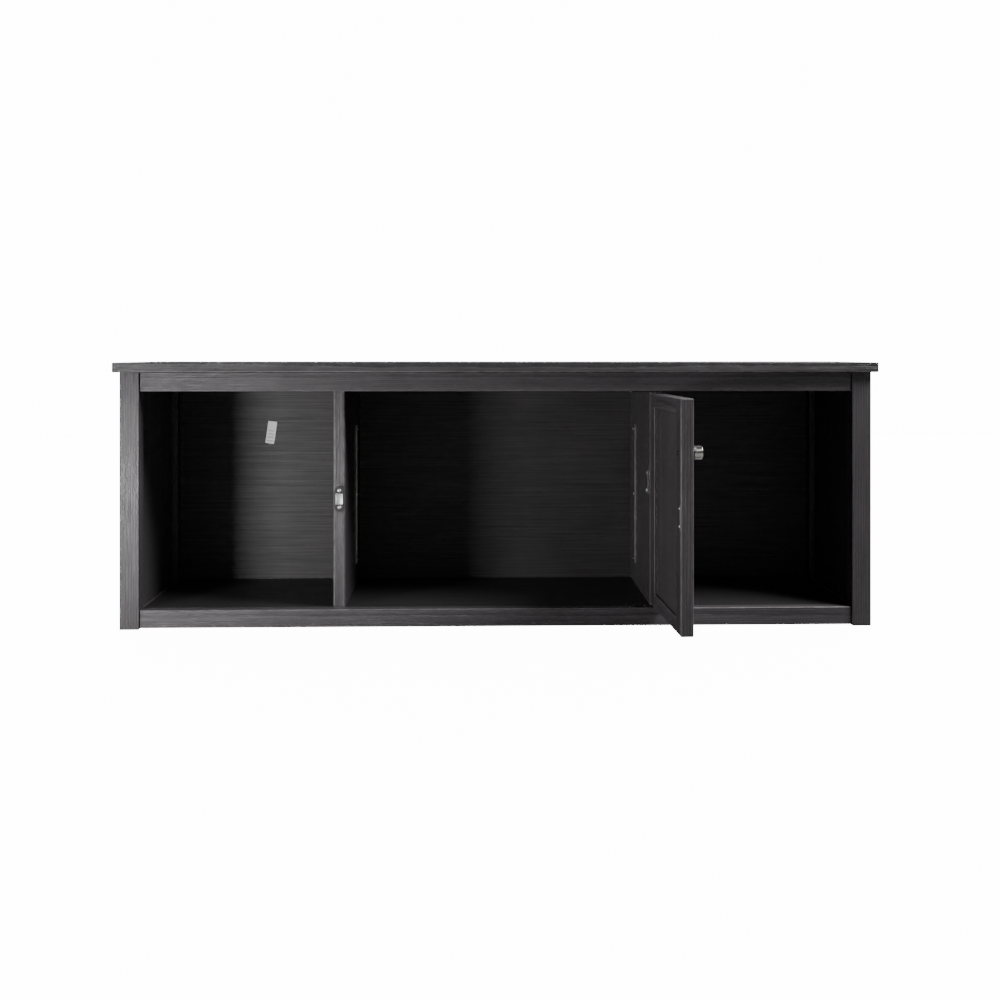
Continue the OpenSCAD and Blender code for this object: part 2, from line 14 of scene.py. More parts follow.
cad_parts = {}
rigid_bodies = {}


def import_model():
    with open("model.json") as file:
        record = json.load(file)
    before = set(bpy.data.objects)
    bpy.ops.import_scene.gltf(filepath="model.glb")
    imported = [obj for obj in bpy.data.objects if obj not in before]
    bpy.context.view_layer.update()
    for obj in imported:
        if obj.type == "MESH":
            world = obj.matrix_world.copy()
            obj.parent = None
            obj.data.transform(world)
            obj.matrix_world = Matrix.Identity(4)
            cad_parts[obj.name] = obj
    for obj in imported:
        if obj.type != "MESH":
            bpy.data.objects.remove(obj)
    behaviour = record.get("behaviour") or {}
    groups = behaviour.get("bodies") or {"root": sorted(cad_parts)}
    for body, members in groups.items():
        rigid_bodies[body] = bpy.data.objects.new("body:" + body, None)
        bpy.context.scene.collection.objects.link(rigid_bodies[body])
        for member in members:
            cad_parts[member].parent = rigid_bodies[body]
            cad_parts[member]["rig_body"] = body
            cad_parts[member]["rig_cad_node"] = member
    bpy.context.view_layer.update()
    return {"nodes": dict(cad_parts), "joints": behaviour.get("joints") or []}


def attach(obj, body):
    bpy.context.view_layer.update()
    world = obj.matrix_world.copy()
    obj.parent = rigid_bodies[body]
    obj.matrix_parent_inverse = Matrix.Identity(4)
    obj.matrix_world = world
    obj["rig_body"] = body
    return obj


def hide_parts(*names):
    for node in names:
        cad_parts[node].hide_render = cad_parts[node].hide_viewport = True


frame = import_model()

bl_info = {
    "name": "Media Cabinet",
    "version": (1, 0, 0),
    "blender": (4, 5, 0),
    "location": "3D View > Sidebar > Cabinet",
    "description": "Boards, door and hardware of a black-stained media cabinet",
    "category": "Add Mesh",
}

MM = 0.001

# The hinge, and the turn that takes the door from closed to where it rests
HINGE = frame["joints"][0]
PIVOT = Vector(HINGE["pos_m"])
REST_TURN = -math.radians(HINGE["range_deg"][0])
OPEN_DOOR = (Matrix.Translation(PIVOT) @ Matrix.Rotation(REST_TURN, 4, "Z")
             @ Matrix.Translation(-PIVOT))
CLOSED_DOOR = OPEN_DOOR.inverted()

ALONG_X, ALONG_Y, ALONG_Z = range(3)
TO_FRONT = Vector((0, -1, 0))
TO_BACK = Vector((0, 1, 0))
TO_LEFT = Vector((-1, 0, 0))
TO_RIGHT = Vector((1, 0, 0))
DOWN = Vector((0, 0, -1))

# How far apart two coordinates may be and still count as one
SAME = 0.01 * MM
# The share of a unit normal that counts as facing a way
FACING = 0.9
# The metal that the stage's cards show in
SATIN_NICKEL = "Satin nickel"


# ---- settings ---------------------------------------------------------------------------------


def length_setting(name, description, millimetres):
    """A setting that is a length."""
    return bpy.props.FloatProperty(
        name=name, description=description, default=millimetres * MM, unit="LENGTH")


def colour_setting(name, description, red, green, blue):
    """A setting that is an opaque colour."""
    return bpy.props.FloatVectorProperty(
        name=name, description=description, subtype="COLOR", size=4, default=(red, green, blue, 1))


def power_setting(name, description, watts):
    """A setting that is a light's power."""
    return bpy.props.FloatProperty(
        name=name, description=description, default=watts, unit="POWER")


class CabinetWood(bpy.types.PropertyGroup):
    """How the boards are eased and stained."""

    arris: length_setting("Arris", "Width of the eased edges of the frame", 2.0)
    post_arris: length_setting("Post arris", "Width of the eased edges of the posts", 1.0)
    top_arris: length_setting("Top arris", "Width of the eased edges of the top", 1.0)
    under_arris: length_setting("Under arris", "Width of the eased lower edges of the top", 2.5)
    divider_arris: length_setting("Divider arris",
                                  "Width of the rounded front edges of the dividers", 4.0)
    panel_arris: length_setting("Panel arris", "Width of the eased edges of the thin panels", 0.6)
    stain_dark: colour_setting("Dark stain",
                               "Stain where the grain takes it best", 0.014, 0.0128, 0.0138)
    stain_light: colour_setting("Light stain",
                                "Stain where hard grain takes less of it", 0.072, 0.066, 0.071)
    # Lighter colour for the eased edges: partly rubbed wear, partly a painted highlight.
    edge_wear_highlight_stain: colour_setting("Worn edge and highlight", "Colour of the rubbed, highlit edges", 0.12, 0.113, 0.118)
    sheen: bpy.props.FloatProperty(
        name="Roughness", description="Mean roughness of the lacquer", default=0.40,
        subtype="FACTOR")


class CabinetHardware(bpy.types.PropertyGroup):
    """Shapes and colours of the metal and plastic pieces."""

    nickel: colour_setting("Nickel", "Colour of the satin nickel", 0.62, 0.60, 0.57)
    zinc: colour_setting("Zinc", "Colour of the bright zinc", 0.80, 0.81, 0.82)
    black: colour_setting("Black steel", "Colour of the blackened hinges", 0.045, 0.045, 0.047)
    plastic: colour_setting("Catch plastic", "Colour of the catch's body", 0.035, 0.033, 0.032)
    plate_corner: length_setting("Plate corner",
                                 "Corner radius of the strike and side plates", 2.5)
    label_tilt: bpy.props.FloatProperty(
        name="Label tilt", description="How far the paper label leans", default=math.radians(8),
        subtype="ANGLE")
    label_curl: length_setting("Label curl", "How far the label's loose corner stands off", 3.0)


class CabinetStage(bpy.types.PropertyGroup):
    """Camera, lights and floor."""

    lens: bpy.props.FloatProperty(
        name="Lens", description="Focal length of the camera, in millimetres", default=48.2)
    camera_place: bpy.props.FloatVectorProperty(
        name="Camera", description="Where the camera stands", subtype="XYZ", unit="LENGTH",
        default=(-0.0436, -2.712, 0.5464))
    camera_turn: bpy.props.FloatProperty(
        name="Camera turn", description="How far the camera looks to the right of straight on",
        default=math.radians(1.66), subtype="ANGLE")
    camera_shift: bpy.props.FloatVectorProperty(
        name="Camera shift", description="Shift of the view to the side and up", size=2,
        default=(-0.0152, -0.1459))
    key_place: bpy.props.FloatVectorProperty(
        name="Key light", description="Where the key light stands", subtype="XYZ", unit="LENGTH",
        default=(-1.08, -0.875, 0.20))
    key_power: power_setting("Key power", "Power of the key light", 15.5)
    side_place: bpy.props.FloatVectorProperty(
        name="Side light", description="Where the high light on the right stands",
        subtype="XYZ", unit="LENGTH", default=(1.5, -0.6, 2.0))
    side_power: power_setting("Side power", "Power of the high light on the right", 100.0)
    low_card: power_setting("Low card", "Power of the card that the metal shows from below", 0.3)
    high_card: power_setting("High card", "Power of the card that the metal shows from above", 3.6)
    fill_power: power_setting("Fill power", "Power of the large soft light over the front", 2.0)


# ---- small tools ------------------------------------------------------------------------------


def only(*objects):
    """Leaves just these objects selected, the last one active."""
    bpy.ops.object.select_all(action="DESELECT")
    for o in objects:
        o.select_set(True)
        bpy.context.view_layer.objects.active = o


def place(obj, matrix):
    """Moves a piece and puts the move into its mesh."""
    only(obj)
    obj.matrix_world = matrix
    bpy.ops.object.transform_apply(location=True, rotation=True, scale=True)


def corners(obj):
    """Lowest and highest corner of a piece whose object sits at the origin."""
    places = [v.co for v in obj.data.vertices]
    return (Vector(min(p[i] for p in places) for i in range(3)),
            Vector(max(p[i] for p in places) for i in range(3)))


def select(obj, kind, chosen):
    """Selects those of the "faces" or "edges" that chosen picks, in edit mode."""
    mesh = bmesh.from_edit_mesh(obj.data)
    for part in (mesh.verts, mesh.edges, mesh.faces):
        for element in part:
            element.select = False
    for element in getattr(mesh, kind):
        if chosen(element):
            element.select_set(True)
    bmesh.update_edit_mesh(obj.data)


def modify(obj, kind, **values):
    """Adds a modifier with these values and applies it."""
    only(obj)
    bpy.ops.object.modifier_add(type=kind)
    modifier = obj.modifiers[-1]
    for name, value in values.items():
        setattr(modifier, name, value)
    bpy.ops.object.modifier_apply(modifier=modifier.name)


def smooth(obj, degrees=32):
    """Shades a piece smooth, but for edges sharper than this."""
    only(obj)
    bpy.ops.object.shade_smooth_by_angle(angle=math.radians(degrees))


def part_copy(node, name):
    """A merged copy of a frame part, with flat faces in one piece, ready to shape."""
    only(frame["nodes"][node])
    bpy.ops.object.duplicate()
    piece = bpy.context.object
    piece.name = name
    piece.data.name = name
    bpy.ops.object.parent_clear(type="CLEAR_KEEP_TRANSFORM")
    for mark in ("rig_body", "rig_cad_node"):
        if mark in piece:
            del piece[mark]
    piece.data.materials.clear()
    bpy.ops.mesh.customdata_custom_splitnormals_clear()
    bpy.ops.object.mode_set(mode="EDIT")
    bpy.ops.mesh.select_all(action="SELECT")
    bpy.ops.mesh.remove_doubles(threshold=0.001 * MM)
    bpy.ops.mesh.dissolve_limited(angle_limit=math.radians(0.2))
    bpy.ops.object.mode_set(mode="OBJECT")
    return piece


def solids_of(node, closed=False):
    """The corners of each solid of a frame part, with the door turned shut if asked."""
    piece = part_copy(node, "measured")
    if closed:
        place(piece, CLOSED_DOOR)
    only(piece)
    bpy.ops.object.mode_set(mode="EDIT")
    bpy.ops.mesh.select_all(action="SELECT")
    bpy.ops.mesh.separate(type="LOOSE")
    bpy.ops.object.mode_set(mode="OBJECT")
    found = list(bpy.context.selected_objects)
    boxes = sorted((corners(o) for o in found), key=lambda box: [round(c, 5) for c in box[0]])
    for o in found:
        bpy.data.objects.remove(o)
    return boxes


def box_of(node, closed=False):
    """The corners of a frame part that is one solid."""
    (box,) = solids_of(node, closed)
    return box


def join(pieces, name):
    """Joins pieces into one, under a name."""
    only(*pieces)
    if len(pieces) > 1:
        bpy.ops.object.join()
    joined = bpy.context.object
    joined.name = name
    joined.data.name = name
    return joined


def hand_over(piece, material, body, node):
    """Gives a finished piece its material and its body, and hides the part it stands for."""
    piece.data.materials.clear()
    piece.data.materials.append(material)
    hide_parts(node)
    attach(piece, body)


# ---- shader parts -----------------------------------------------------------------------------


def add(tree, kind, settings=None, **inputs):
    """Adds a node; inputs are values, or sockets to link from, by the input's name."""
    made = tree.nodes.new(kind)
    for name, value in (settings or {}).items():
        setattr(made, name, value)
    for name, value in inputs.items():
        key = int(name[1:]) if name[0] == "_" else name.replace("_", " ")
        socket = made.inputs[key]
        if isinstance(value, bpy.types.NodeSocket):
            tree.links.new(value, socket)
        else:
            socket.default_value = value
    return made


def feed(tree, node, **sources):
    """Links sockets to a node's inputs, by the input's name."""
    for name, source in sources.items():
        tree.links.new(source, node.inputs[name.replace("_", " ")])


def new_group(name, inputs, outputs):
    """An empty node group with these sockets, and its two end nodes."""
    group = bpy.data.node_groups.new(name, "ShaderNodeTree")
    for label, kind in inputs:
        group.interface.new_socket(label, in_out="INPUT", socket_type="NodeSocket" + kind)
    for label, kind in outputs:
        group.interface.new_socket(label, in_out="OUTPUT", socket_type="NodeSocket" + kind)
    return group, group.nodes.new("NodeGroupInput"), group.nodes.new("NodeGroupOutput")


def grain_group():
    """Growth rings about the grain's axis and fine fibres along it."""
    found = bpy.data.node_groups.get("Timber grain")
    if found:
        return found
    group, given, out = new_group(
        "Timber grain",
        [("Vector", "Vector"), ("Ring Scale", "Float"), ("Fibre Scale", "Float")],
        [("Rings", "Float"), ("Fibres", "Float"), ("Height", "Float")])
    drawn = add(group, "ShaderNodeVectorMath", {"operation": "MULTIPLY"},
                _0=given.outputs["Vector"], _1=(1, 1, 0.07))
    rings = add(group, "ShaderNodeTexWave",
                {"wave_type": "RINGS", "rings_direction": "Z", "wave_profile": "SAW"},
                Vector=drawn.outputs[0], Scale=given.outputs["Ring Scale"], Distortion=4.0,
                Detail=3.0, Detail_Scale=0.35, Detail_Roughness=0.6)
    strung = add(group, "ShaderNodeVectorMath", {"operation": "MULTIPLY"},
                 _0=given.outputs["Vector"], _1=(1, 1, 0.012))
    fibres = add(group, "ShaderNodeTexNoise", Vector=strung.outputs[0],
                 Scale=given.outputs["Fibre Scale"], Detail=5.0, Roughness=0.62)
    clear = add(group, "ShaderNodeMapRange", {"clamp": True}, Value=fibres.outputs["Fac"],
                From_Min=0.34, From_Max=0.66)
    both = add(group, "ShaderNodeMath", {"operation": "MULTIPLY_ADD"},
               _0=rings.outputs["Fac"], _1=0.35, _2=clear.outputs[0])
    feed(group, out, Rings=rings.outputs["Fac"], Fibres=clear.outputs[0], Height=both.outputs[0])
    return group


def rubbed_highlight_group():
    """Where handled edges are rubbed and a painted highlight is laid: the eased faces, broken up
    by noise.
    """
    found = bpy.data.node_groups.get("Rubbed edges")
    if found:
        return found
    group, given, out = new_group(
        "Rubbed edges", [("Vector", "Vector"), ("Edge", "Float"), ("Amount", "Float")],
        [("Wear", "Float")])
    patches = add(group, "ShaderNodeTexNoise", Vector=given.outputs["Vector"], Scale=45.0,
                  Detail=6.0, Roughness=0.6)
    broken = add(group, "ShaderNodeMapRange", {"clamp": True}, Value=patches.outputs["Fac"],
                 From_Min=0.20, From_Max=0.62)
    on_edge = add(group, "ShaderNodeMath", {"operation": "MULTIPLY"}, _0=broken.outputs[0],
                  _1=given.outputs["Edge"])
    amount = add(group, "ShaderNodeMath", {"operation": "MULTIPLY"}, _0=on_edge.outputs[0],
                 _1=given.outputs["Amount"])
    feed(group, out, Wear=amount.outputs[0])
    return group


def new_material(name):
    """An empty material with its surface shader, ready to fill."""
    material = bpy.data.materials.new(name)
    material.use_nodes = True
    tree = material.node_tree
    tree.nodes.clear()
    surface = tree.nodes.new("ShaderNodeBsdfPrincipled")
    out = tree.nodes.new("ShaderNodeOutputMaterial")
    feed(tree, out, Surface=surface.outputs[0])
    return material, tree, surface


# How much of the light stain comes with the fibres, with broad patches, and everywhere
FIBRE_SHARE = 0.40
PATCH_SHARE = 0.45
START_SHARE = 0.13


def timber(name, dark, light, worn_edge_highlight, roughness, ring_scale, ring_share, wear, bump):
    """Wood whose grain follows each board's own grain attribute."""
    found = bpy.data.materials.get(name)
    if found:
        return found
    material, tree, surface = new_material(name)
    board = add(tree, "ShaderNodeAttribute", {"attribute_name": "grain"})
    edge = add(tree, "ShaderNodeAttribute", {"attribute_name": "arris"})
    grain = add(tree, "ShaderNodeGroup", {"node_tree": grain_group()},
                Vector=board.outputs["Vector"], Ring_Scale=ring_scale, Fibre_Scale=620.0)
    patches = add(tree, "ShaderNodeTexNoise", Vector=board.outputs["Vector"], Scale=7.0,
                  Detail=3.0)
    take = add(tree, "ShaderNodeMath", {"operation": "MULTIPLY_ADD"}, _0=grain.outputs["Rings"],
               _1=ring_share, _2=START_SHARE - ring_share / 2)
    take = add(tree, "ShaderNodeMath", {"operation": "MULTIPLY_ADD"},
               _0=grain.outputs["Fibres"], _1=FIBRE_SHARE, _2=take.outputs[0])
    take = add(tree, "ShaderNodeMath", {"operation": "MULTIPLY_ADD"},
               _0=patches.outputs["Fac"], _1=PATCH_SHARE, _2=take.outputs[0])
    tone = add(tree, "ShaderNodeAttribute", {"attribute_name": "tone"})
    take = add(tree, "ShaderNodeMath", {"operation": "ADD", "use_clamp": True},
               _0=take.outputs[0], _1=tone.outputs["Fac"])
    stain = add(tree, "ShaderNodeMix", {"data_type": "RGBA"}, _0=take.outputs[0], _6=dark,
                _7=light)
    # The eased edges are lightened: partly rubbed wear, partly a painted highlight.
    rubbed = add(tree, "ShaderNodeGroup", {"node_tree": rubbed_highlight_group()},
                 Vector=board.outputs["Vector"], Edge=edge.outputs["Fac"], Amount=wear)
    colour = add(tree, "ShaderNodeMix", {"data_type": "RGBA"}, _0=rubbed.outputs["Wear"],
                 _6=stain.outputs[2], _7=worn_edge_highlight)
    gloss = add(tree, "ShaderNodeMapRange", Value=grain.outputs["Fibres"],
                To_Min=roughness + 0.08, To_Max=roughness - 0.06)
    relief = add(tree, "ShaderNodeBump", Strength=bump, Distance=0.5 * MM,
                 Height=grain.outputs["Height"])
    feed(tree, surface, Base_Color=colour.outputs[2], Roughness=gloss.outputs[0],
         Normal=relief.outputs[0])
    return material


def stained_wood():
    """Black-stained pine with an open grain, for the solid boards."""
    wood = bpy.context.scene.cabinet_wood
    return timber("Black stained pine", wood.stain_dark, wood.stain_light, wood.edge_wear_highlight_stain,
                  roughness=wood.sheen, ring_scale=62.0, ring_share=0.55, wear=0.8, bump=0.8)


def stained_panel():
    """The same stain, duller, on closely grained thin panels."""
    wood = bpy.context.scene.cabinet_wood
    return timber("Black stained panel", wood.stain_dark, wood.stain_light, wood.edge_wear_highlight_stain,
                  roughness=wood.sheen + 0.12, ring_scale=46.0, ring_share=0.14, wear=0.5,
                  bump=0.12)


def bare_pine():
    """Unfinished pine, for what is out of sight."""
    return timber("Bare pine", dark=(0.42, 0.26, 0.12, 1), light=(0.66, 0.47, 0.27, 1),
                  worn_edge_highlight=(0.70, 0.55, 0.35, 1), roughness=0.62, ring_scale=70.0, ring_share=0.45,
                  wear=0.4, bump=0.35)


def darker(colour, share):
    """This share of a colour, opaque."""
    return tuple(share * c for c in colour[:3]) + (1,)


def brushed_metal(name, colour, roughness, lines=(1, 1, 1)):
    """Plated metal with fine rubbed lines and faint handling marks."""
    found = bpy.data.materials.get(name)
    if found:
        return found
    material, tree, surface = new_material(name)
    surface.inputs["Metallic"].default_value = 1.0
    place_in = add(tree, "ShaderNodeTexCoord")
    drawn = add(tree, "ShaderNodeMapping", Vector=place_in.outputs["Object"], Scale=lines)
    brushed = add(tree, "ShaderNodeTexNoise", Vector=drawn.outputs[0], Scale=900.0, Detail=3.0)
    marks = add(tree, "ShaderNodeTexNoise", Vector=place_in.outputs["Object"], Scale=90.0,
                Detail=5.0)
    tone = add(tree, "ShaderNodeMapRange", Value=marks.outputs["Fac"], From_Min=0.3, From_Max=0.7)
    shade = add(tree, "ShaderNodeMix", {"data_type": "RGBA"}, _0=tone.outputs[0],
                _6=darker(colour, 0.72), _7=tuple(colour))
    gloss = add(tree, "ShaderNodeMapRange", Value=brushed.outputs["Fac"], From_Min=0.3,
                From_Max=0.7, To_Min=roughness - 0.07, To_Max=roughness + 0.10)
    relief = add(tree, "ShaderNodeBump", Strength=0.12, Distance=0.05 * MM,
                 Height=brushed.outputs["Fac"])
    feed(tree, surface, Base_Color=shade.outputs[2], Roughness=gloss.outputs[0],
         Normal=relief.outputs[0])
    return material


def nickel():
    """The knob's, plates' and standards' plating, rubbed up and down."""
    hardware = bpy.context.scene.cabinet_hardware
    return brushed_metal(SATIN_NICKEL, hardware.nickel, roughness=0.17, lines=(1, 1, 0.04))


def zinc():
    """The plating of the screws, nails and pins."""
    return brushed_metal("Bright zinc", bpy.context.scene.cabinet_hardware.zinc, roughness=0.36)


def black_steel():
    """The blackened steel of the hinges."""
    return brushed_metal("Black steel", bpy.context.scene.cabinet_hardware.black, roughness=0.42)


def moulded(name, colour, roughness):
    """Moulded plastic with a fine spark-eroded texture."""
    found = bpy.data.materials.get(name)
    if found:
        return found
    material, tree, surface = new_material(name)
    place_in = add(tree, "ShaderNodeTexCoord")
    pits = add(tree, "ShaderNodeTexVoronoi", Vector=place_in.outputs["Object"], Scale=2600.0)
    cloud = add(tree, "ShaderNodeTexNoise", Vector=place_in.outputs["Object"], Scale=60.0,
                Detail=4.0)
    shade = add(tree, "ShaderNodeMix", {"data_type": "RGBA"}, _0=cloud.outputs["Fac"],
                _6=darker(colour, 0.7), _7=tuple(colour))
    gloss = add(tree, "ShaderNodeMapRange", Value=cloud.outputs["Fac"], To_Min=roughness - 0.05,
                To_Max=roughness + 0.08)
    relief = add(tree, "ShaderNodeBump", Strength=0.2, Distance=0.05 * MM,
                 Height=pits.outputs["Distance"])
    feed(tree, surface, Base_Color=shade.outputs[2], Roughness=gloss.outputs[0],
         Normal=relief.outputs[0])
    return material


def label_paper():
    """Paper with faint grey bars across its lower part and a fibrous surface."""
    found = bpy.data.materials.get("Label paper")
    if found:
        return found
    material, tree, surface = new_material("Label paper")
    surface.inputs["Roughness"].default_value = 0.75
    half_bar, bar_top = 7 * MM, 8 * MM
    sheet = add(tree, "ShaderNodeAttribute", {"attribute_name": "grain"}).outputs["Vector"]
    lines = add(tree, "ShaderNodeTexWave", {"bands_direction": "Z"}, Vector=sheet, Scale=42.0,
                Distortion=0.0)
    across = add(tree, "ShaderNodeSeparateXYZ", Vector=sheet)

    def math_node(operation, first, second=0.5):
        return add(tree, "ShaderNodeMath", {"operation": operation}, _0=first,
                   _1=second).outputs[0]

    ink = math_node("GREATER_THAN", lines.outputs["Fac"], 0.62)
    sideways = math_node("ABSOLUTE", across.outputs["X"])
    for mask in (math_node("LESS_THAN", sideways, half_bar),
                 math_node("LESS_THAN", across.outputs["Z"], bar_top), 0.45):
        ink = math_node("MULTIPLY", ink, mask)
    shade = add(tree, "ShaderNodeMix", {"data_type": "RGBA"}, _0=ink, _6=(0.90, 0.90, 0.88, 1),
                _7=(0.25, 0.25, 0.27, 1))
    fibres = add(tree, "ShaderNodeTexNoise", Vector=sheet, Scale=1500.0, Detail=4.0)
    relief = add(tree, "ShaderNodeBump", Strength=0.2, Distance=0.05 * MM,
                 Height=fibres.outputs["Fac"])
    feed(tree, surface, Base_Color=shade.outputs[2], Normal=relief.outputs[0])
    return material


# ---- boards -----------------------------------------------------------------------------------


def write(mesh, name, kind, domain, values):
    """Writes an attribute of a mesh."""
    field = "vector" if kind == "FLOAT_VECTOR" else "value"
    mesh.attributes.new(name, kind, domain).data.foreach_set(field, values)


def mark_grain(board, along, name, tone):
    """Writes where each point lies in the board's own timber, grain along the third axis,
    with the heart of the tree off to one side of the board's thickness, and its tone."""
    luck = random.Random(name)
    low, high = corners(board)
    middle = (low + high) / 2
    size = high - low
    thin = min(range(3), key=lambda axis: size[axis])
    heart = Vector((0, 0, 0))
    heart[thin] = luck.choice((-1, 1)) * luck.uniform(50, 110) * MM
    wide = next(axis for axis in range(3) if axis not in (thin, along))
    heart[wide] = luck.uniform(-0.4, 0.4) * size[wide]
    heart[along] = luck.uniform(0, 3)
    order = ((along + 1) % 3, (along + 2) % 3, along)
    values = []
    for vertex in board.data.vertices:
        point = vertex.co - middle + heart
        values.extend(point[axis] for axis in order)
    write(board.data, "grain", "FLOAT_VECTOR", "POINT", values)
    tones = [tone + luck.uniform(-0.06, 0.06)] * len(board.data.vertices)
    write(board.data, "tone", "FLOAT", "POINT", tones)


def mark_arrises(board):
    """Marks the faces that lie on no side of the board: its eased edges."""
    square = 0.9995
    values = [float(max(abs(c) for c in face.normal) < square) for face in board.data.polygons]
    write(board.data, "arris", "FLOAT", "FACE", values)


def ease(board, width, wanted=None, segments=3):
    """Bevels the board's outer edges, or those that wanted(sides) picks."""
    low, high = corners(board)

    def sides_of(edge):
        sides = []
        for axis in range(3):
            for sign, plane in ((-1, low[axis]), (1, high[axis])):
                if all(abs(v.co[axis] - plane) < SAME for v in edge.verts):
                    sides.append((axis, sign))
        return sides

    def chosen(edge):
        sides = sides_of(edge)
        return len(sides) == 2 and (wanted is None or wanted(sides))

    only(board)
    bpy.ops.object.mode_set(mode="EDIT")
    select(board, "edges", chosen)
    bpy.ops.mesh.bevel(offset=width, segments=segments, affect="EDGES", clamp_overlap=False)
    bpy.ops.object.mode_set(mode="OBJECT")


def make_board(node, name, along, arris, material, body="carcass",
               tone=0.0):
    """Shapes one board from its frame part: eased edges, grain and soft shading. The arris is
    a width, or a function that eases the board."""
    board = part_copy(node, name)
    if body == "door":
        place(board, CLOSED_DOOR)
    if callable(arris):
        arris(board)
    else:
        ease(board, arris)
    mark_grain(board, along, name, tone)
    mark_arrises(board)
    if body == "door":
        place(board, OPEN_DOOR)
    smooth(board, 40)
    modify(board, "WEIGHTED_NORMAL", keep_sharp=True)
    hand_over(board, material, body, node)
    return board


def softened(node, name, material, body, width=0.25 * MM, segments=2):
    """A piece of hardware shaped from its frame part, with every hard edge broken."""
    piece = part_copy(node, name)
    modify(piece, "BEVEL", width=width, segments=segments, limit_method="ANGLE",
           angle_limit=math.radians(40), harden_normals=False)
    smooth(piece)
    modify(piece, "WEIGHTED_NORMAL", keep_sharp=True)
    hand_over(piece, material, body, node)
    return piece


class CabinetOperator(bpy.types.Operator):
    """Shared by the cabinet's operators."""

    bl_options = {"REGISTER", "UNDO"}


class CABINET_OT_top(CabinetOperator):
    """Make the top board"""

    bl_idname = "cabinet.top"
    bl_label = "Top"

    def execute(self, context):
        wood = context.scene.cabinet_wood

        def ease_top(board):
            ease(board, wood.under_arris, wanted=lambda sides: (2, -1) in sides)
            ease(board, wood.top_arris, wanted=lambda sides: (2, -1) not in sides)

        make_board("top_panel", "top_board", ALONG_X, ease_top, stained_wood(), tone=-0.34)
        return {"FINISHED"}


class CABINET_OT_posts(CabinetOperator):
    """Make the four corner posts"""

    bl_idname = "cabinet.posts"
    bl_label = "Corner posts"

    def execute(self, context):
        for end in ("front", "rear"):
            for side in ("left", "right"):
                make_board(f"post_{end}_{side}", f"corner_post_{end}_{side}", ALONG_Z,
                           context.scene.cabinet_wood.post_arris, stained_wood())
        return {"FINISHED"}


class CABINET_OT_rails(CabinetOperator):
    """Make the front, rear and side rails"""

    bl_idname = "cabinet.rails"
    bl_label = "Rails"

    def execute(self, context):
        arris = context.scene.cabinet_wood.arris
        for level in ("top", "bottom"):
            for end in ("front", "rear"):
                make_board(f"{end}_rail_{level}", f"{end}_{level}_rail", ALONG_X, arris,
                           stained_wood(), tone=0.1)
            for side in ("left", "right"):
                make_board(f"side_rail_{level}_{side}", f"{side}_{level}_rail", ALONG_Y, arris,
                           stained_wood())
        return {"FINISHED"}


class CABINET_OT_end_panels(CabinetOperator):
    """Make the two panels of the cabinet's ends"""

    bl_idname = "cabinet.end_panels"
    bl_label = "End panels"

    def execute(self, context):
        for side in ("left", "right"):
            make_board(f"side_panel_{side}", f"end_panel_{side}", ALONG_Z,
                       context.scene.cabinet_wood.panel_arris, stained_panel())
        return {"FINISHED"}


class CABINET_OT_dividers(CabinetOperator):
    """Make the two dividers, their front edges well rounded"""

    bl_idname = "cabinet.dividers"
    bl_label = "Dividers"

    def execute(self, context):
        def round_front(board):
            ease(board, context.scene.cabinet_wood.divider_arris, segments=6,
                 wanted=lambda sides: (1, -1) in sides and any(axis == 0 for axis, _ in sides))

        for side in ("left", "right"):
            make_board(f"divider_{side}", f"divider_board_{side}", ALONG_Z, round_front,
                       stained_wood())
        return {"FINISHED"}


class CABINET_OT_panels(CabinetOperator):
    """Make the cabinet's floor and its back"""

    bl_idname = "cabinet.panels"
    bl_label = "Floor and back"

    def execute(self, context):
        arris = context.scene.cabinet_wood.panel_arris
        for part, tone in (("floor", -0.7), ("back", -0.3)):
            make_board(part + "_panel", part + "_board", ALONG_X, arris, stained_panel(),
                       tone=tone)
        return {"FINISHED"}


class CABINET_OT_battens(CabinetOperator):
    """Make the bare battens, bearers and dowels that hold the boards"""

    bl_idname = "cabinet.battens"
    bl_label = "Battens"

    def execute(self, context):
        arris = context.scene.cabinet_wood.panel_arris
        battens = {"floor_cleat_front": ALONG_X}
        for side in ("left", "right"):
            for name in ("top_cleat", "divider_cleat", "floor_cleat", "floor_bearer"):
                battens[f"{name}_{side}"] = ALONG_Y
        for node, along in battens.items():
            make_board(node, node + "_batten", along, arris, bare_pine())
        softened("frame_dowels", "dowels", bare_pine(), "carcass", 0.6 * MM)
        return {"FINISHED"}


class CABINET_OT_door(CabinetOperator):
    """Make the door's frame and its panel"""

    bl_idname = "cabinet.door"
    bl_label = "Door"

    def execute(self, context):
        wood = context.scene.cabinet_wood
        for node, along in (("stile_hinge", ALONG_Z), ("stile_free", ALONG_Z),
                            ("rail_top", ALONG_X), ("rail_bottom", ALONG_X)):
            make_board("door_" + node, "door_frame_" + node, along, wood.arris,
                       stained_wood(), body="door")
        make_board("door_panel", "door_field", ALONG_Z, wood.panel_arris, stained_panel(),
                   body="door")
        return {"FINISHED"}


# ---- hardware ---------------------------------------------------------------------------------


def draw_up(points):
    """Extrudes the selected faces from the first (height, radius) point through the others."""
    for (level, width), (next_level, next_width) in zip(points, points[1:]):
        bpy.ops.mesh.extrude_region_move(
            TRANSFORM_OT_translate={"value": (0, 0, next_level - level)})
        ratio = next_width / width
        bpy.ops.transform.resize(value=(ratio, ratio, 1), center_override=(0, 0, next_level))


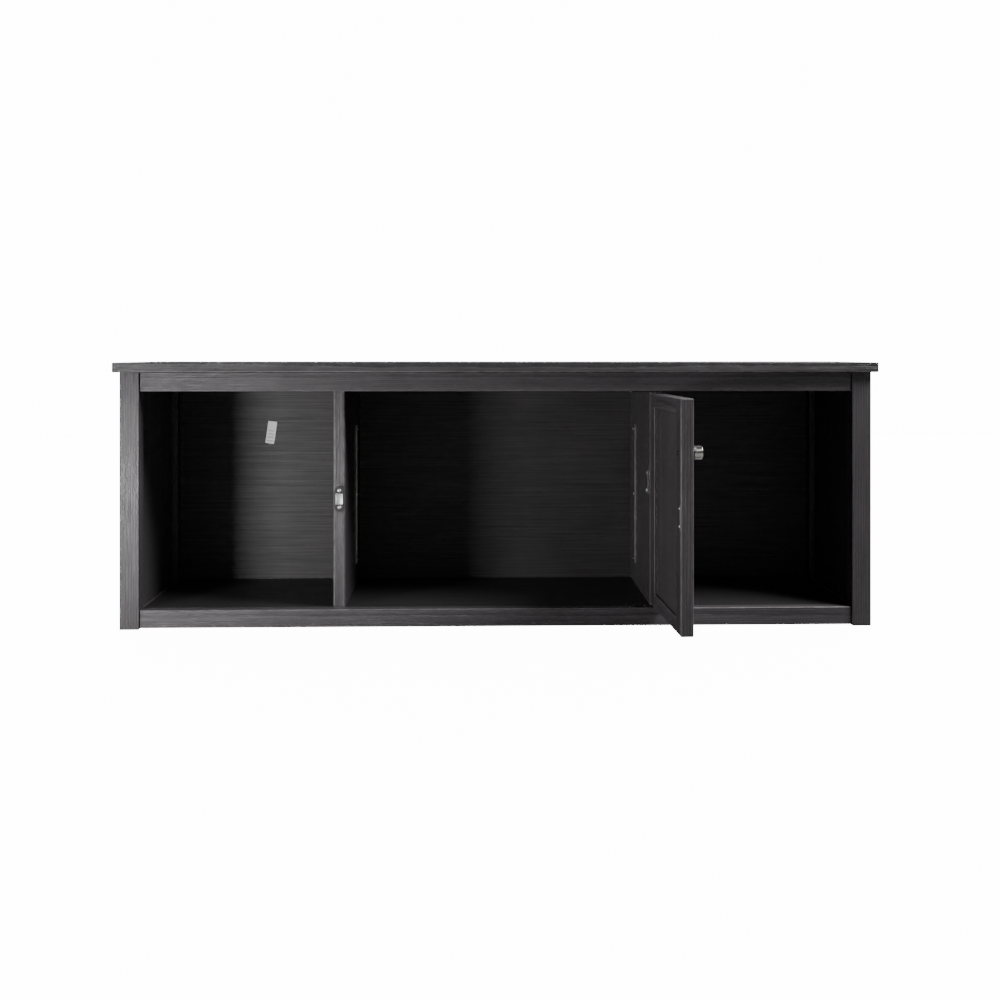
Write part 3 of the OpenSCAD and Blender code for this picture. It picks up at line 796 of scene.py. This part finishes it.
def dome(name, radius, height):
    """A domed head standing on z = 0, drawn in millimetres."""
    neck, steps, last_angle = 0.3, 6, math.radians(76)
    only()
    bpy.ops.mesh.primitive_cylinder_add(vertices=28, radius=radius, depth=neck,
                                        location=(0, 0, neck / 2))
    head = bpy.context.object
    head.name = name
    bpy.ops.object.transform_apply(location=True, rotation=True, scale=True)
    bpy.ops.object.mode_set(mode="EDIT")
    select(head, "faces", lambda face: face.normal.z > FACING)
    angles = [last_angle * step / steps for step in range(1, steps + 1)]
    draw_up([(neck, radius)] + [(neck + (height - neck) * math.sin(angle),
                                 radius * math.cos(angle)) for angle in angles])
    bpy.ops.object.mode_set(mode="OBJECT")
    return head


def cross_cutter(reach, width, depth, height):
    """A tapered cross, in millimetres, that cuts a screw head's recess."""
    above, taper = 1.0, 0.45
    only()
    bpy.ops.mesh.primitive_cube_add(size=1, location=(0, 0, height - depth / 2 + above / 2),
                                    scale=(width, width, depth + above))
    cross = bpy.context.object
    bpy.ops.object.transform_apply(location=True, rotation=True, scale=True)
    for direction in (TO_RIGHT, TO_LEFT, TO_BACK, TO_FRONT):
        bpy.ops.object.mode_set(mode="EDIT")
        select(cross, "faces", lambda face: face.normal.dot(direction) > FACING and
               abs(face.calc_center_median().dot(direction) - width / 2) < 0.01 * width)
        bpy.ops.mesh.extrude_region_move(
            TRANSFORM_OT_translate={"value": direction * (reach - width / 2)})
        bpy.ops.object.mode_set(mode="OBJECT")
    bpy.ops.object.mode_set(mode="EDIT")
    select(cross, "faces", lambda face: face.normal.z < -FACING)
    bpy.ops.transform.resize(value=(taper, taper, 1), center_override=(0, 0, height - depth))
    bpy.ops.object.mode_set(mode="OBJECT")
    return cross


def screw_head(radius, height):
    """A raised screw head with a cross recess, standing on z = 0, in millimetres."""
    head = dome("screw_head", radius, height)
    cross = cross_cutter(reach=0.55 * radius, width=0.24 * radius, depth=0.8 * height,
                         height=height)
    modify(head, "BOOLEAN", operation="DIFFERENCE", solver="EXACT", object=cross)
    bpy.data.objects.remove(cross)
    modify(head, "BEVEL", width=0.06, segments=1, limit_method="ANGLE",
           angle_limit=math.radians(50))
    smooth(head, 35)
    return head


def head_places(node, direction, closed=False):
    """Where each solid of a frame part ends in a direction, and how wide it is there."""
    places = []
    for low, high in solids_of(node, closed):
        spot = (low + high) / 2
        size = high - low
        axis = max(range(3), key=lambda i: abs(direction[i]))
        spot[axis] = high[axis] if direction[axis] > 0 else low[axis]
        width = min(size[i] for i in range(3) if i != axis)
        places.append((spot, width / 2))
    return places


def stand(spot, direction, turn=Matrix.Identity(4)):
    """The move that stands a piece drawn in millimetres on a spot, facing a direction."""
    facing = direction.to_track_quat("Z", "Y").to_matrix().to_4x4()
    return Matrix.Translation(spot) @ facing @ turn @ Matrix.Scale(MM, 4)


def spread_heads(name, head, placed, body, material, node):
    """Copies one head, each copy turned on, to every (place, direction) and joins them."""
    turn_on = math.radians(37)
    copies = []
    for number, (spot, direction) in enumerate(placed):
        copy = head.copy()
        copy.data = head.data.copy()
        bpy.context.scene.collection.objects.link(copy)
        matrix = stand(spot, direction, Matrix.Rotation(turn_on * number, 4, "Z"))
        place(copy, OPEN_DOOR @ matrix if body == "door" else matrix)
        copies.append(copy)
    bpy.data.objects.remove(head)
    hand_over(join(copies, name), material, body, node)


class CABINET_OT_screws(CabinetOperator):
    """Make the screw heads and nail heads"""

    bl_idname = "cabinet.screws"
    bl_label = "Screws and nails"

    def execute(self, context):
        groups = (
            ("catch_screws", TO_FRONT, "carcass", 1.1),
            ("strike_screws", TO_BACK, "door", 0.9),
            ("side_plate_screws", TO_LEFT, "carcass", 0.9),
            ("back_panel_screws", TO_BACK, "carcass", 0.5),
            ("cleat_screws", DOWN, "carcass", 0.5),
            ("floor_screws", DOWN, "carcass", -0.1),
            ("bearer_screws", DOWN, "carcass", -0.1),
        )
        for node, direction, body, proud in groups:
            self.proud_heads(node, direction, body, proud)
        self.hinge_screws("hinge_frame_screws", "carcass", upper=DOWN)
        self.hinge_screws("hinge_door_screws", "door", upper=-DOWN)
        nails = [(spot, radius, direction) for side, direction in ((-1, TO_RIGHT), (1, TO_LEFT))
                 for spot, radius in head_places("shelf_standard_nails", direction)
                 if spot.x * side > 0]
        spread_heads("nail_heads", dome("nail", 1000 * nails[0][1], 0.9),
                     [(spot, direction) for spot, _, direction in nails], "carcass", zinc(),
                     "shelf_standard_nails")
        return {"FINISHED"}

    def proud_heads(self, node, direction, body, proud):
        """Heads that stand this many millimetres proud of the frame part's own."""
        base, sunk, clear = 0.6, 0.02, 0.05
        found = head_places(node, direction, body == "door")
        head = screw_head(1000 * found[0][1] - clear, base + proud)
        placed = [(spot - direction * (base - sunk) * MM, direction) for spot, _ in found]
        spread_heads(node + "_heads", head, placed, body, zinc(), node)

    def hinge_screws(self, node, body, upper):
        """Flush heads that face the gap between the two leaves, at the top and the bottom."""
        height, sunk, clear = 0.58, 0.55, 0.05
        found = [(spot, radius, direction) for above, direction in ((True, upper), (False, -upper))
                 for spot, radius in head_places(node, direction, body == "door")
                 if (spot.z > PIVOT.z) == above]
        head = screw_head(1000 * found[0][1] - clear, height)
        placed = [(spot - direction * sunk * MM, direction) for spot, _, direction in found]
        spread_heads(node + "_heads", head, placed, body, zinc(), node)


class CABINET_OT_hinges(CabinetOperator):
    """Make the pivot hinges: leaves, pins and washers"""

    bl_idname = "cabinet.hinges"
    bl_label = "Hinges"

    def execute(self, context):
        for end in ("top", "bottom"):
            softened(f"hinge_frame_leaf_{end}", f"frame_leaf_{end}", black_steel(),
                     "carcass")
            softened(f"hinge_door_leaf_{end}", f"door_leaf_{end}", black_steel(),
                     "door")
        softened("hinge_pins", "pivot_pins", zinc(), "carcass", 0.2 * MM)
        softened("hinge_washers", "pivot_washers", moulded("Nylon", (0.72, 0.72, 0.69, 1), 0.45),
                 "carcass", 0.1 * MM)
        return {"FINISHED"}


def turned(name, profile):
    """A turned piece along +Z from its (height, radius) profile, in millimetres."""
    only()
    level, width = profile[0]
    bpy.ops.mesh.primitive_circle_add(vertices=72, radius=width, fill_type="NGON",
                                      location=(0, 0, level))
    piece = bpy.context.object
    piece.name = name
    bpy.ops.object.transform_apply(location=True, rotation=True, scale=True)
    bpy.ops.object.mode_set(mode="EDIT")
    bpy.ops.mesh.select_all(action="SELECT")
    draw_up(profile)
    bpy.ops.mesh.select_all(action="SELECT")
    bpy.ops.mesh.normals_make_consistent(inside=False)
    bpy.ops.object.mode_set(mode="OBJECT")
    return piece


def rim(level, radius, round_by):
    """Profile points of a rounded outer corner that ends at this level."""
    steps = 5
    points = []
    for step in range(steps + 1):
        angle = math.radians(90) * step / steps
        points.append((level - round_by + round_by * math.sin(angle),
                       radius - round_by + round_by * math.cos(angle)))
    return points


class CABINET_OT_knob(CabinetOperator):
    """Make the knob and the head of the screw behind it"""

    bl_idname = "cabinet.knob"
    bl_label = "Knob"

    def execute(self, context):
        low, high = box_of("knob", closed=True)
        radius = 1000 * (high.x - low.x) / 2
        length = 1000 * (high.y - low.y)
        neck, neck_end, foot = 0.54 * radius, 0.18 * length, 0.6
        ring, ring_deep = (0.72 * radius, 0.70 * radius, 0.66 * radius, 0.64 * radius), 0.25
        profile = [
            (0, neck + foot), (0.7, neck + foot), (1.1, neck), (neck_end - 0.4, neck),
            (neck_end, neck + 0.5), (neck_end, radius - 1.0), (neck_end + 0.4, radius - 0.3),
            (neck_end + 1.0, radius), (length - 1.4, radius), *rim(length, radius, 0.9),
            (length, ring[0]), (length - ring_deep, ring[1]), (length - ring_deep, ring[2]),
            (length, ring[3]), (length + 0.1, 0.3 * radius), (length + 0.12, 0.02 * radius),
        ]
        piece = turned("turned_knob", profile)
        smooth(piece, 30)
        centre = (low + high) / 2
        place(piece, OPEN_DOOR @ stand(Vector((centre.x, high.y, centre.z)), TO_FRONT))
        hand_over(piece, nickel(), "door", "knob")

        head_height = 2.4
        low, high = box_of("knob_screw", closed=True)
        head = screw_head(500 * (high.x - low.x), head_height)
        centre = (low + high) / 2
        spot = Vector((centre.x, high.y, centre.z)) - TO_BACK * head_height * MM
        spread_heads("knob_screw_head", head, [(spot, TO_BACK)], "door", black_steel(),
                     "knob_screw")
        return {"FINISHED"}


class CABINET_OT_catch(CabinetOperator):
    """Make the magnetic catch on the left divider"""

    bl_idname = "cabinet.catch"
    bl_label = "Magnetic catch"

    def execute(self, context):
        plastic = moulded("Catch plastic", context.scene.cabinet_hardware.plastic, 0.42)
        softened("catch_body", "catch_case", plastic, "carcass", 0.7 * MM, 3)
        magnet = part_copy("catch_magnet", "catch_pole_plate")
        only(magnet)
        bpy.ops.object.mode_set(mode="EDIT")
        select(magnet, "edges",
               lambda edge: abs(edge.verts[0].co.y - edge.verts[1].co.y) > MM)
        bpy.ops.mesh.bevel(offset=1.6 * MM, segments=5, affect="EDGES")
        select(magnet, "faces", lambda face: face.normal.y < -FACING)
        bpy.ops.mesh.inset(thickness=1.2 * MM)
        bpy.ops.mesh.extrude_region_move(TRANSFORM_OT_translate={"value": (0, 0.25 * MM, 0)})
        bpy.ops.object.mode_set(mode="OBJECT")
        modify(magnet, "BEVEL", width=0.2 * MM, segments=2, limit_method="ANGLE",
               angle_limit=math.radians(50))
        smooth(magnet)
        hand_over(magnet, zinc(), "carcass", "catch_magnet")
        return {"FINISHED"}


def plate(node, name, body, thin):
    """A steel plate with round corners and a broken rim, from its frame part's box."""
    low, high = box_of(node, body == "door")
    only()
    bpy.ops.mesh.primitive_cube_add(size=1, location=(low + high) / 2, scale=high - low)
    piece = bpy.context.object
    piece.name = name
    piece.data.name = name
    bpy.ops.object.transform_apply(location=True, rotation=True, scale=True)
    bpy.ops.object.mode_set(mode="EDIT")
    select(piece, "edges", lambda edge: all(
        abs(edge.verts[0].co[i] - edge.verts[1].co[i]) < SAME for i in range(3) if i != thin))
    bpy.ops.mesh.bevel(offset=bpy.context.scene.cabinet_hardware.plate_corner, segments=6,
                       affect="EDGES")
    bpy.ops.object.mode_set(mode="OBJECT")
    modify(piece, "BEVEL", width=0.25 * MM, segments=2, limit_method="ANGLE",
           angle_limit=math.radians(50))
    smooth(piece)
    if body == "door":
        place(piece, OPEN_DOOR)
    modify(piece, "WEIGHTED_NORMAL", keep_sharp=True)
    hand_over(piece, nickel(), body, node)


class CABINET_OT_plates(CabinetOperator):
    """Make the strike plate on the door and the short plate inside the middle bay"""

    bl_idname = "cabinet.plates"
    bl_label = "Steel plates"

    def execute(self, context):
        plate("strike_plate", "strike_plate_steel", "door", 1)
        plate("side_plate", "side_plate_steel", "carcass", 0)
        return {"FINISHED"}


class CABINET_OT_standards(CabinetOperator):
    """Make the slotted shelf standards"""

    bl_idname = "cabinet.standards"
    bl_label = "Shelf standards"

    def execute(self, context):
        for side in ("left", "right"):
            softened(f"shelf_standard_{side}", f"standard_{side}", nickel(), "carcass",
                     0.2 * MM, 1)
        return {"FINISHED"}


class CABINET_OT_label(CabinetOperator):
    """Make the paper label, one corner lifting"""

    bl_idname = "cabinet.label"
    bl_label = "Paper label"

    def execute(self, context):
        hardware = context.scene.cabinet_hardware
        label = part_copy("paper_label", "label_sheet")
        low, high = corners(label)
        upright = (Matrix.Rotation(-hardware.label_tilt, 4, "Y")
                   @ Matrix.Translation(-(low + high) / 2))
        place(label, upright)
        bpy.ops.object.mode_set(mode="EDIT")
        bpy.ops.mesh.select_all(action="SELECT")
        bpy.ops.mesh.subdivide(number_cuts=15)
        bpy.ops.object.mode_set(mode="OBJECT")
        low, high = corners(label)
        reach = 0.45 * (high.z - low.z)
        for vertex in label.data.vertices:
            away = math.hypot(vertex.co.x - high.x, vertex.co.z - low.z)
            lift = max(0.0, 1 - away / reach)
            vertex.co.y -= hardware.label_curl * lift ** 2
        write(label.data, "grain", "FLOAT_VECTOR", "POINT",
              [part for vertex in label.data.vertices for part in vertex.co])
        place(label, upright.inverted())
        smooth(label)
        hand_over(label, label_paper(), "carcass", "paper_label")
        return {"FINISHED"}


# ---- stage ------------------------------------------------------------------------------------


def pale_plane(name, roughness, **placed):
    """A large plane that glows a plain pale white, and reflects only a little."""
    only()
    bpy.ops.mesh.primitive_plane_add(size=24, **placed)
    plane = bpy.context.object
    plane.name = "studio_" + name
    material, _, surface = new_material("Pale " + name)
    for label, value in (("Base Color", (0.08, 0.08, 0.08, 1)), ("Roughness", roughness),
                         ("Emission Color", (1, 1, 1, 1)), ("Emission Strength", 14.0)):
        surface.inputs[label].default_value = value
    plane.data.materials.append(material)
    return plane


def soft_light(name, spot, target, size, power):
    """A soft square light that looks at a target."""
    lamp = bpy.data.lights.new(name, "AREA")
    lamp.energy = power
    lamp.shape = "RECTANGLE"
    lamp.size, lamp.size_y = size
    light = bpy.data.objects.new(name, lamp)
    bpy.context.scene.collection.objects.link(light)
    light.location = spot
    light.rotation_euler = (Vector(target) - Vector(spot)).to_track_quat("-Z", "Y").to_euler()
    return light


class CABINET_OT_stage(CabinetOperator):
    """Set the floor, the backdrop, the lights and the camera"""

    bl_idname = "cabinet.stage"
    bl_label = "Stage"

    def execute(self, context):
        stage = context.scene.cabinet_stage
        floor = pale_plane("floor", 0.8, location=(0, 0, 0))
        backdrop = pale_plane("backdrop", 0.9, location=(0, 6, 6),
                              rotation=(math.radians(90), 0, 0))
        lit = bpy.data.collections.new("Lit by the stage")
        for glowing in (floor, backdrop):
            lit.objects.link(glowing)
            glowing.light_linking.receiver_collection = lit

        world = bpy.data.worlds.new("Studio")
        context.scene.world = world
        world.use_nodes = True
        sky = world.node_tree.nodes["Background"]
        sky.inputs["Color"].default_value = (1, 1, 1, 1)
        sky.inputs["Strength"].default_value = 0.095

        soft_light("key", stage.key_place, (0, 0.1, 0.25), (0.25, 0.25), stage.key_power)
        soft_light("side", stage.side_place, (0, 0, 0.2), (0.7, 0.7), stage.side_power)
        soft_light("fill", (0.1, -2.6, 2.6), (0, 0, 0.3), (2.4, 1.6), stage.fill_power)
        metal = bpy.data.collections.new("Shown in the metal")
        for piece in context.scene.objects:
            if piece.material_slots and piece.material_slots[0].name == SATIN_NICKEL:
                metal.objects.link(piece)
        cards = (
            soft_light("low card", (0.5, -0.05, 0.01), (0.5, -0.05, 1), (0.6, 0.25),
                       stage.low_card),
            soft_light("high card", (0.7, -1.6, 1.8), (0.4, -0.4, 0.4), (1.4, 1.0),
                       stage.high_card),
        )
        for card in cards:
            card.visible_camera = False
            card.light_linking.receiver_collection = metal

        lens = bpy.data.cameras.new("camera")
        lens.lens = stage.lens
        lens.sensor_width = 36
        lens.shift_x, lens.shift_y = stage.camera_shift
        lens.clip_end = 60
        camera = bpy.data.objects.new("camera", lens)
        context.scene.collection.objects.link(camera)
        camera.location = stage.camera_place
        camera.rotation_euler = (math.radians(90), 0, -stage.camera_turn)
        context.scene.camera = camera
        return {"FINISHED"}


class CABINET_PT_panel(bpy.types.Panel):
    """Lists the cabinet's pieces in the sidebar"""

    bl_idname = "CABINET_PT_panel"
    bl_label = "Media cabinet"
    bl_space_type = "VIEW_3D"
    bl_region_type = "UI"
    bl_category = "Cabinet"

    def draw(self, context):
        for operator in MAKERS:
            self.layout.operator(operator.bl_idname)
        for name, settings in SETTINGS.items():
            box = self.layout.box()
            for field in settings.__annotations__:
                box.prop(getattr(context.scene, name), field)


MAKERS = (
    CABINET_OT_top, CABINET_OT_posts, CABINET_OT_rails, CABINET_OT_end_panels,
    CABINET_OT_dividers, CABINET_OT_panels, CABINET_OT_battens, CABINET_OT_door,
    CABINET_OT_hinges, CABINET_OT_knob, CABINET_OT_catch, CABINET_OT_plates,
    CABINET_OT_standards, CABINET_OT_screws, CABINET_OT_label, CABINET_OT_stage,
)
SETTINGS = {
    "cabinet_wood": CabinetWood,
    "cabinet_hardware": CabinetHardware,
    "cabinet_stage": CabinetStage,
}


def register():
    for name, settings in SETTINGS.items():
        bpy.utils.register_class(settings)
        setattr(bpy.types.Scene, name, bpy.props.PointerProperty(type=settings))
    for operator in MAKERS:
        bpy.utils.register_class(operator)
    bpy.utils.register_class(CABINET_PT_panel)


def unregister():
    bpy.utils.unregister_class(CABINET_PT_panel)
    for operator in reversed(MAKERS):
        bpy.utils.unregister_class(operator)
    for name, settings in SETTINGS.items():
        delattr(bpy.types.Scene, name)
        bpy.utils.unregister_class(settings)


def main():
    register()
    for operator in MAKERS:
        area, name = operator.bl_idname.split(".")
        getattr(getattr(bpy.ops, area), name)()


if __name__ == "__main__":
    main()
